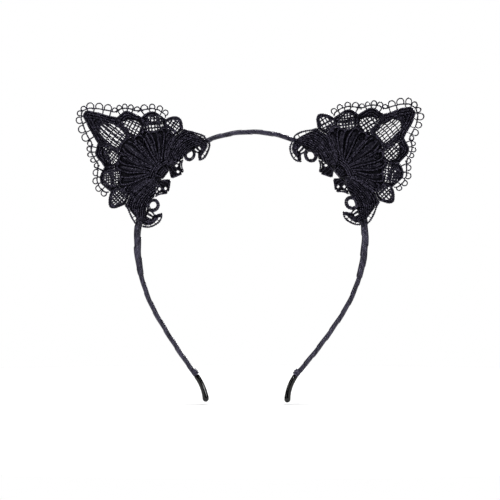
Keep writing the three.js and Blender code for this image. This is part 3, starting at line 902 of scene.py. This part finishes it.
def scroll_work(seed):
    """A ring and a C-shaped curl, with slits between the curl's bars and a beaded outer edge."""
    work = Threadwork(seed)
    for grown in (0.55, 1.55):
        ring = [
            (-3.4 + (1.75 + grown) * sin(a), 17.8 + (2.05 + grown) * cos(a))
            for a in np.linspace(0.25 * grown, 2 * pi + 0.3 - 0.25 * grown, 28)
        ]
        work.cord(at(*[(min(u, -1.0 + 0.2 * grown), v) for u, v in ring]), 1.15, 1.4)
    body = closed(
        (-1.2, 20.8), (-2.6, 24), (-4, 27.6), (-5, 29.8), (-7, 29.4), (-8.8, 27.4), (-9.8, 24.6),
        (-10, 21.8), (-10.4, 19.6), (-9.3, 19.2), (-8.2, 20.6), (-7.2, 21.6), (-5, 20.8),
    )
    slits = [
        closed((-3.6, 22.3), (-5.2, 21.9), (-6.8, 22.3), (-6.6, 22.9), (-5, 22.8), (-3.8, 23)),
        closed((-3.8, 24.4), (-5.4, 24.2), (-7, 24), (-6.9, 24.7), (-5.4, 25), (-4, 25.1)),
    ]
    if work.random.random() < 0.6:
        slits.append(
            closed((-8.2, 22.6), (-8.3, 23.6), (-8, 24.6), (-7.7, 24.5), (-7.8, 23.4), (-7.8, 22.6))
        )
    work.plate(body, slits)
    bars = (
        (((-1.6, 21.2), (-4.4, 21.4), (-7, 21.9), (-8.8, 21.2), (-9.9, 19.4)), 0.95),
        (((-2.4, 23.6), (-5.2, 23.6), (-7.4, 23.3)), 0.9),
        (((-3.4, 25.7), (-6, 25.7), (-8.3, 24.6), (-8.9, 22.4)), 0.95),
        (((-3.8, 26.8), (-6.2, 26.8), (-8.6, 25.6), (-9.2, 23)), 0.95),
        (((-4.3, 28), (-6.6, 27.7), (-8.6, 26.4)), 0.95),
        (((-4.9, 29.2), (-7, 28.8), (-8.9, 27), (-9.7, 24.2), (-9.8, 21.4)), 1.0),
        (((-9.2, 21.4), (-10.3, 20.8), (-10.4, 19.4), (-9.8, 18.8)), 1.0),
    )
    for path, width in bars:
        work.cord(at(*path), width, 1.3)
    edge = offset(border("-curl_outer"), -0.1)
    work.cord(edge, 1.3, 1.0, beads=1.1)
    for k in range(3, len(edge) - 2, 5):
        spot = edge[k]
        work.thread([spot, spot + (np.array((24.4, -6)) - spot) * 0.28], 0.5, 0.3, 0.02, 0.5)
    return work


def tail_work(seed):
    """A stub below the foot: border cords and a web round small holes."""
    work = Threadwork(seed)
    rest = at((-1.35, 13.6), (0.2, 11), (1.6, 8), (2.2, 5), (1.2, 2.7), (-2.3, 0))
    loop = np.concatenate([outline("tail_foot", "tail_heel"), smooth(rest, PLAN_STEP)[:-1]])
    holes = [closed((0.2, 7.4), (0, 8.7), (-1.1, 8.8), (-1.2, 7.5))]
    if work.random.random() < 0.7:
        holes.append(closed((-2.6, 5.2), (-2.5, 6.2), (-3.7, 6.6), (-4, 5.4)))
    if work.random.random() < 0.5:
        holes.append(closed((0.4, 9.6), (0, 10.8), (-0.7, 10.6), (-0.4, 9.6)))
    work.plate(drawn_in(loop, 0.3), holes)
    cords = (
        (((-1.4, 13.1), (-2.2, 10.9), (-3.6, 9.2), (-5.7, 7.5)), 1.0),
        (((-2.5, 0.9), (-3.8, 3.1), (-5.6, 6.3)), 1.0),
        (((0.6, 3.2), (-2.1, 0.9)), 0.9),
        (((1.2, 4.4), (-1, 2.6), (-3.2, 3)), 0.9),
        (((1.4, 5.4), (-1.4, 4.7), (-4.2, 4.9)), 0.9),
        (((1.3, 6.4), (-1.6, 6.8), (-4.8, 6.9)), 0.9),
        (((1, 5.6), (1, 8), (-0.3, 12.2)), 0.9),
        (((-1.6, 7.2), (-1.6, 9.4), (-1.2, 11.6)), 0.8),
    )
    for path, width in cords:
        work.cord(at(*path), width, 1.1 + work.random.uniform(0, 0.12))
    work.knot((7.2, -5.7), 0.7, 1.1)
    return work


# Centre (up, across), radius: the loops down one side, from the tip
PICOTS = (
    ((61.6, 1.7), 1.5), ((59.5, 5.1), 1.9), ((55.2, 8.1), 2.0), ((50.6, 10.4), 2.0),
    ((46.6, 11.6), 1.35), ((45.2, 14.5), 1.4), ((43.0, 17.3), 1.4), ((40.0, 19.3), 1.35),
    ((36.6, 20.4), 1.4), ((34.2, 23.2), 1.6), ((31.2, 26.4), 1.6), ((27.0, 28.2), 1.6),
    ((22.9, 28.4), 1.5),
)
PICOT_TURN = 138  # degrees each way that a loop runs round from its outermost point
PICOT_LIFT = 0.15


def picot_work(seed):
    """The edging: a thread that runs round the rim on short bars, with a loop on each span."""
    work = Threadwork(seed)
    rim = np.concatenate([border(name) for name in ("peak_rim", "rim_1", "rim_2")])
    for side in (-1, 1):
        places = [np.array(at(centre)[0]) for centre, _ in PICOTS]
        feet = []
        for place, (_, radius) in zip(places, PICOTS):
            outwards = place - nearest(rim, place)
            out = outwards / np.linalg.norm(outwards)
            feet.append((place - out * radius * 0.62, out))
        for place, (_, radius), (_, out) in zip(places, PICOTS, feet):
            heading = atan2(out[1], out[0])
            size = radius * work.random.uniform(0.92, 1.08)
            angles = heading + np.radians(np.linspace(-PICOT_TURN, PICOT_TURN, 17))
            loop = [(place[0] + size * cos(a), place[1] + size * sin(a)) for a in angles]
            work.thread(on_side(loop, side), 0.72, PICOT_LIFT, 0.03, 0.4)
        middles = [(a[0] + b[0]) / 2 for a, b in zip(feet, feet[1:])]
        line = [feet[0][0], *[spot for pair in zip(middles, [f[0] for f in feet[1:]]) for spot in pair]]
        work.cord(on_side([(0, 61.3), *line, (26.2, 20.8)], side), 0.84, 0.75, PICOT_LIFT)
        for middle in middles:
            foot = nearest(rim, middle)
            inside = foot - (middle - foot) * 0.25
            work.thread(on_side([middle, inside], side), 0.75, PICOT_LIFT, 0.03, 0.5)
            work.knot(middle * (side, 1), work.random.uniform(0.55, 0.75), 0.8, 0.05)
    return work


# --------------------------------------
# Setting the lace on the band

EAR_HEIGHT, EAR_WIDTH = 60.2, 64.8
EARS = {"left": (-57.45, -3.0, 3.9), "right": (57.1, 0.5, 2.9)}  # station, turn in degrees, seat
EAR_LEAN, EAR_CUP, CURL_FROM = 3.0, 5.0, 10.0
# Where the needlework came out a little wide or narrow: (x, y), then the pull there, in mm
PULLS = {
    "left": (
        ((-17.5, 38), (1.4, -0.9)), ((-26, 26), (-0.8, 0)), ((-32, 15), (-1.5, 0)),
        ((17.5, 38), (-0.7, 0.6)), ((31.5, 15), (-1.5, 0.1)), ((24, -10), (-0.5, 2.0)),
        ((16.5, -6), (0, 1.0)),
    ),
    "right": (
        ((26, 26), (0.6, 0)), ((32, 15), (0.6, 0)), ((-17.5, 38), (0.4, 0.2)), ((-32, 15), (-0.4, 0)),
        ((24, -10), (0, 0.5)), ((0, 61), (0.3, -1.6)), ((6, 54), (0.4, -0.4)),
    ),
}
PULL_REACH = 6.5
LACE_BACK = -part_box("left_fan")[1][1] / MM
GLUE_BACK = -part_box("left_glue_line")[1][1] / MM


def set_on_ear(mesh, side, flip):
    """Moves flat lace to its place on one ear: bent, slightly uneven, and in metres."""
    x, y, z = spots_of(mesh).T
    if flip:
        x = -x
        mesh.flip_normals()
    phase = 0.7 if side == "left" else 3.1
    waver = 0.16 * np.sin(x / 5.3 + y / 7.1 + phase) + 0.1 * np.sin(x / 2.9 - y / 4.3 + 2 * phase)
    sway = 0.16 * np.sin(y / 5.9 - x / 8.3 + 3 * phase) + 0.1 * np.sin(y / 3.1 + x / 3.7 + phase)
    for (near_x, near_y), (pull_x, pull_y) in PULLS[side]:
        hold = np.exp(-((x - near_x) ** 2 + (y - near_y) ** 2) / PULL_REACH**2)
        waver += hold * pull_x
        sway += hold * pull_y
    rise = np.maximum(y - CURL_FROM, 0) / (EAR_HEIGHT - CURL_FROM)
    back = EAR_LEAN * rise**2 - EAR_CUP * rise * (x / (EAR_WIDTH / 2)) ** 2
    ripple = 0.22 * rise * np.sin(x / 4.1 + y / 6.7 + phase)
    station, tilt, seat = EARS[side]
    place, _, normal = band_frame(station)
    up = Matrix.Rotation(radians(tilt), 3, "Y") @ normal
    across = Vector((up.z, 0, -up.x))
    foot = place - up * seat
    placed = np.outer(x + waver, across) + np.outer(y + sway, up) + np.array(foot)
    placed[:, 1] = back + ripple - LACE_BACK - z
    mesh.vertices.foreach_set("co", (placed * MM).ravel())


AXIS_WORK = {"peak": peak_work, "peak_net": peak_net_work, "fan": fan_work, "picots": picot_work}
SIDE_WORK = {
    "scallop_1": scallop_work,
    "scallop_2": scallop_work,
    "scallop_3": scallop_work,
    "leaf": leaf_work,
    "scroll": scroll_work,
    "tail": tail_work,
}


def add_lace(node, work, side, flip):
    """Makes one piece of lace and sets it on its ear."""
    mesh = as_mesh(work.mesh(), "lace")
    set_on_ear(mesh, side, flip)
    finish_piece(f"{node}_threadwork", mesh, THREAD, node)


# How closely each ear's nets are worked
TIGHTNESS = {
    "left": {"middle": 1.3, "crown": 1.05, "leg": 1.32},
    "right": {"middle": 1.0, "crown": 1.0, "leg": 1.08},
}


def make_ears():
    """Both ears: the pieces on the axis, then the six on each half of it."""
    for k, side in enumerate(SIDES):
        for j, (name, draw) in enumerate(AXIS_WORK.items()):
            extra = (TIGHTNESS[side]["middle"],) if name == "peak_net" else ()
            add_lace(f"{side}_{name}", draw(100 * k + j, *extra), side, False)
        for j, (name, draw) in enumerate(SIDE_WORK.items()):
            for i, half in enumerate(("crown", "leg")):
                flip = (half == "crown") != (side == "left")
                extra = (j + 1, TIGHTNESS[side][half]) if "scallop" in name else ()
                add_lace(f"{side}_{half}_{name}", draw(100 * k + 20 * i + j + 5, *extra), side, flip)


# --------------------------------------
# The band: pieces made straight up Z, round the core, then bent to it

TURN_STEPS = 28  # round the core
FLAT_REACH = 1.7  # how soon a round section spreads over the core's flat faces


def wrap_on_band(mesh):
    """Bends a straight piece, made as a round of radius 1 mm plus its height off the core."""
    for vert in mesh.vertices:
        x, y, station = vert.co
        round_ = hypot(x, y)
        c, s = x / round_, y / round_
        stand_off = round_ - 1
        depth = CORE_FLAT * max(-1, min(1, FLAT_REACH * c)) + (CORE_ROUND + stand_off) * c
        out = (CORE_ROUND + stand_off) * s
        place, _, normal = band_frame(station)
        spot = place + normal * out
        spot.y = depth
        vert.co = spot * MM
    return mesh


RIBBON_PITCH = 12.0
RIBBON_RUN = 16.5  # the ribbon's extent along the band
RIBBON_ROWS = 9  # points across the ribbon
CLOTH_THICK = 0.14
CLIMB, CLIMB_AT = 14, 0.62  # how steeply the ribbon climbs on its neighbour's edge, and where
WEAVE_GIRTH, WEAVE_RADIUS = 14.0, 2.3  # mm round the band, and its mean radius, that the weave is laid by
LAP_LENGTH, SETTLE_LENGTH = 9.0, 13.0  # how far the shoulder's end runs on over the leg, and sinks
SETTLED_SHARE = 0.15  # of a turn's height that is left where it has sunk
LEG_UNDER = 8  # how far the leg's ribbon starts under the shoulder


def settle(ribbon, end):
    """Lets the last turns before an end sink to the layer below."""
    lowest = RIBBON_TOP + 0.04
    for vert in ribbon.verts:
        share = max(0, min(1, (end - abs(vert.co.z)) / SETTLE_LENGTH))
        kept = SETTLED_SHARE + (1 - SETTLED_SHARE) * share
        radius = hypot(vert.co.x, vert.co.y)
        set_radius(vert, 1 + lowest + (radius - 1 - lowest) * kept)


def wound_ribbon(name, node, low, high, base, top, hand=1, settled=None):
    """Satin ribbon wound in a helix, each turn on the edge of the one before, cut off at both ends."""
    ribbon = bmesh.new()
    across = ribbon.verts.layers.float.new("across")
    row = []
    for k in range(RIBBON_ROWS):
        share = k / (RIBBON_ROWS - 1)
        climb = 1 / (1 + exp(-CLIMB * (share - CLIMB_AT)))
        height = base + (top - base - CLOTH_THICK) * climb
        vert = ribbon.verts.new((1 + height, 0, share * RIBBON_RUN))
        vert[across] = share * RIBBON_RUN
        row.append(vert)
    edges = [ribbon.edges.new(pair) for pair in zip(row, row[1:])]
    turns = (high - low + RIBBON_RUN) / RIBBON_PITCH
    steps = round(turns * TURN_STEPS)
    rise = (0, 0, RIBBON_PITCH * turns / steps)
    spin(ribbon, row, edges, hand * 2 * pi * turns, steps, dvec=rise)
    along = ribbon.verts.layers.float.new("along")
    for vert in ribbon.verts:
        vert[along] = (vert.co.z - vert[across]) / RIBBON_PITCH * WEAVE_GIRTH
    bmesh.ops.translate(ribbon, vec=(0, 0, low - RIBBON_RUN), verts=ribbon.verts[:])
    for station, way in ((low, -1), (high, 1)):
        cut(ribbon, (0, 0, station), (0, 0, way), clear_outer=True)
    if settled:
        settle(ribbon, settled)
    bmesh.ops.recalc_face_normals(ribbon, faces=ribbon.faces[:])
    ribbon.faces.ensure_lookup_table()
    middle = ribbon.faces[len(ribbon.faces) // 2]
    centre = middle.calc_center_median()
    if middle.normal.dot(Vector((centre.x, centre.y, 0))) < 0:
        bmesh.ops.reverse_faces(ribbon, faces=ribbon.faces[:])
    bmesh.ops.solidify(ribbon, geom=ribbon.faces[:], thickness=-CLOTH_THICK)
    face_outwards(ribbon)
    mesh = wrap_on_band(as_mesh(ribbon, name))
    piece = finish_piece(name, mesh, SATIN, node)
    girth = 4 * CORE_FLAT + 2 * pi * (CORE_ROUND + (base + top) / 2)
    turn = hypot(girth, RIBBON_PITCH)
    flat = (RIBBON_RUN * girth / turn * MM, (high - low) / RIBBON_PITCH * turn * MM)
    return piece


def make_ribbons():
    """Five ribbons: one over the crown, then a thick shoulder and a leg down each side."""
    reach = SHOULDER_START
    wound_ribbon("crown_satin", "crown_ribbon", -reach, reach, RIBBON_FOOT, RIBBON_TOP)
    for side in SIDES:
        way = WAY[side]
        tuck = HALF_LENGTH[side] - TIP_LENGTH - TUCK_LENGTH
        shoulder = SHOULDER_END[side]
        lap = shoulder + LAP_LENGTH
        for part, near, far, base, top, settled in (
            ("shoulder", SHOULDER_START, lap, SHOULDER_FOOT, SHOULDER_TOP, lap),
            ("leg", shoulder - LEG_UNDER, tuck, RIBBON_FOOT, RIBBON_TOP, None),
        ):
            low, high = sorted((way * near, way * far))
            node = f"{side}_{part}_ribbon"
            wound_ribbon(f"{side}_{part}_satin", node, low, high, base, top, -way, settled)


LEAN_FROM = 1.2  # the radius within which a ring doesn't lean


def spun(name, profile, side, near, material, node, hollow=False, lean=0):
    """A turned piece on the band: profile as (distance out from the crown, height off the core).

    A hollow piece is a ring, closed along its inside; lean makes it stand higher on one face.
    """
    turned = bmesh.new()
    row = [turned.verts.new((1 + height, 0, distance)) for distance, height in profile]
    run = row + row[:1] if hollow else row
    edges = [turned.edges.new(pair) for pair in zip(run, run[1:])]
    spin(turned, row, edges, 2 * pi, TURN_STEPS, use_merge=True)
    if not hollow:
        bmesh.ops.holes_fill(turned, edges=turned.edges[:], sides=0)
    layers = [turned.verts.layers.float.new(word) for word in ("along", "across")]
    for vert in turned.verts:
        radius = hypot(vert.co.x, vert.co.y)
        if lean and radius > LEAN_FROM:
            set_radius(vert, 1 + (radius - 1) * (1 - lean * vert.co.y / radius))
        vert[layers[0]] = atan2(vert.co.y, vert.co.x) * WEAVE_RADIUS
        vert[layers[1]] = vert.co.z
    bmesh.ops.scale(turned, vec=(1, 1, WAY[side]), verts=turned.verts[:])
    bmesh.ops.translate(turned, vec=(0, 0, WAY[side] * near), verts=turned.verts[:])
    bmesh.ops.recalc_face_normals(turned, faces=turned.faces[:])
    finish_piece(name, wrap_on_band(as_mesh(turned, name)), material, node)


def make_tips():
    """Dipped tips: a thin lip over the ribbon's end, a shank that swells, and a round nose."""
    length = TIP_LENGTH + TIP_NOSE
    full = TIP_WALL - 0.1
    inside = -0.88  # just off the core's own middle line
    nose = 1.9
    swell = full + 0.3 + CORE_ROUND
    profile = [(0.0, inside), (0.0, full * 0.35), (0.12, full * 0.75), (0.45, full * 0.98)]
    profile += [(share * length, full + 0.5 * share**4) for share in (0.15, 0.3, 0.45, 0.6, 0.72, 0.82)]
    for angle in np.radians((0, 15, 30, 45, 60, 72, 82)):
        profile.append((length - nose + nose * sin(angle), swell * cos(angle) - CORE_ROUND))
    profile.append((length, inside))
    for side in SIDES:
        near = HALF_LENGTH[side] - TIP_LENGTH
        spun(f"{side}_dipped_tip", profile, side, near, DIPPED, f"{side}_tip")


def make_knots():
    """The tucked-in ribbon end above each tip: three tight turns, the middle one proud."""
    inside, low = 0.15, 0.78
    turn_length, gap = 1.16, 0.3
    profile = [(0.0, inside)]
    for start, high in ((0.0, 0.95), (1.1, 1.2), (2.3, 1.05)):
        for share in (0.04, 0.15, 0.35, 0.6, 0.85, 0.96):
            profile.append((start + share * turn_length, low + (high - low) * sin(pi * share) ** 0.5))
    profile.append((TUCK_LENGTH + 0.28, inside))
    for side in SIDES:
        near = HALF_LENGTH[side] - TIP_LENGTH - gap - TUCK_LENGTH
        node = f"{side}_ribbon_knot"
        spun(f"{side}_tucked_end", profile, side, near, SATIN, node, True, lean=0.4)


GLUE_REACH, GLUE_STEP = 27, 0.5  # each way from the middle of an ear's foot
GLUE_SEEDS = {"left": 31, "right": 32}


def make_glue():
    """A wavering bead of glue along the band's front, under each ear."""
    for side in SIDES:
        station = EARS[side][0]
        front = -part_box(f"{side}_glue_line")[0][1] / MM
        thick = front - GLUE_BACK
        rng = random.Random(GLUE_SEEDS[side])
        stations = np.arange(-GLUE_REACH, GLUE_REACH + 0.01, GLUE_STEP)
        path = np.array([(0.25 * sin(distance / 2.3), distance, 0) for distance in stations])
        radii = [1.05 + 0.12 * sin(distance / 1.7) + rng.uniform(-0.08, 0.08) for distance in stations]
        radii[0] = radii[-1] = 0.5
        bead = bmesh.new()
        bead.from_mesh(sweep([(path, np.array(radii), stations, 0)]))
        close_ends(bead)
        for vert in bead.verts:
            place, _, normal = band_frame(station + vert.co.y)
            spot = place + normal * vert.co.x
            spot.y = -(GLUE_BACK + thick / 2) - vert.co.z * thick / 2.2
            vert.co = spot * MM
        bmesh.ops.recalc_face_normals(bead, faces=bead.faces[:])
        face_outwards(bead)
        finish_piece(f"{side}_glue_bead", as_mesh(bead, "bead"), GLUE, f"{side}_glue_line")


def dress_core():
    """Gives the frame's own core its steel."""
    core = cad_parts["band_core"]
    core.data.materials.clear()
    core.data.materials.append(STEEL)


# --------------------------------------
# Floor, light and camera

VIEW_WIDTH = 0.285  # metres across the picture at the object
VIEW_CENTRE = Vector((-0.0006, 0, -0.0658))
CAMERA_DISTANCE = 1.3
FLOOR_RADIUS, FLOOR_DROP = 0.42, 0.001
SENSOR_WIDTH = 36


def make_stage():
    """A white surround that lights the object faintly, and a pale floor under it."""
    world = bpy.data.worlds.new("studio")
    bpy.context.scene.world = world
    world.use_nodes = True
    nodes, links = world.node_tree.nodes, world.node_tree.links
    nodes.clear()
    seen, soft = nodes.new("ShaderNodeBackground"), nodes.new("ShaderNodeBackground")
    seen.inputs[0].default_value = (1, 1, 1, 1)
    soft.inputs[0].default_value = (0.93, 0.95, 1, 1)
    soft.inputs[1].default_value = 0.015
    mix, ray = nodes.new("ShaderNodeMixShader"), nodes.new("ShaderNodeLightPath")
    output = nodes.new("ShaderNodeOutputWorld")
    links.new(ray.outputs["Is Camera Ray"], mix.inputs[0])
    links.new(soft.outputs[0], mix.inputs[1])
    links.new(seen.outputs[0], mix.inputs[2])
    links.new(mix.outputs[0], output.inputs[0])

    paper = Shader("pale_floor", Roughness=0.9)
    grain = paper.noise(60, 3)
    paper.colour(grain, (0.86, 0.86, 0.86), (0.9, 0.9, 0.9))
    floor = bmesh.new()
    bmesh.ops.create_circle(floor, cap_ends=True, segments=64, radius=FLOOR_RADIUS)
    low = cad_box[0][2] - FLOOR_DROP
    bmesh.ops.translate(floor, vec=(0, 0, low), verts=floor.verts[:])
    ground = linked("floor", as_mesh(floor, "floor"))
    ground.data.materials.append(paper.material)


def make_light(name, place, target, size, power, tall=None):
    """A round lamp, or an upright strip if it is given a height."""
    lamp = bpy.data.lights.new(name, "AREA")
    lamp.shape = "RECTANGLE" if tall else "DISK"
    lamp.size = size
    lamp.size_y = tall or size
    lamp.energy = power
    holder = linked(name, lamp)
    holder.location = place
    holder.rotation_euler = (Vector(target) - Vector(place)).to_track_quat("-Z", "Y").to_euler()


def make_lights_and_camera():
    """Lamps round the object, and a camera that looks straight at its front."""
    make_light("overhead", (0, 0.1, 1.5), (0, 0, -0.1), 0.7, 21)
    make_light("front_left", (-0.9, -1.3, 0.8), (0, 0, -0.05), 0.3, 21)
    make_light("front_right", (1.3, -1.1, 0.3), (0, 0, -0.05), 0.25, 6)
    make_light("back", (0.5, 1.5, 0.7), (0, 0, -0.05), 0.4, 16)
    for side, way in WAY.items():
        make_light(f"{side}_strip", (way * 1.25, -0.75, 0.3), (0, 0, -0.1), 0.07, 4.5, 1.3)
    data = bpy.data.cameras.new("camera")
    data.sensor_width = SENSOR_WIDTH
    data.lens = SENSOR_WIDTH * CAMERA_DISTANCE / VIEW_WIDTH
    data.clip_end = 20
    camera = linked("camera", data)
    camera.location = VIEW_CENTRE + Vector((0, -CAMERA_DISTANCE, 0))
    camera.rotation_euler = (radians(90), 0, 0)
    bpy.context.scene.camera = camera
    bpy.context.scene.view_settings.view_transform = "Standard"


make_lights_and_camera()
make_stage()
dress_core()
make_ribbons()
make_tips()
make_knots()
make_glue()
make_ears()
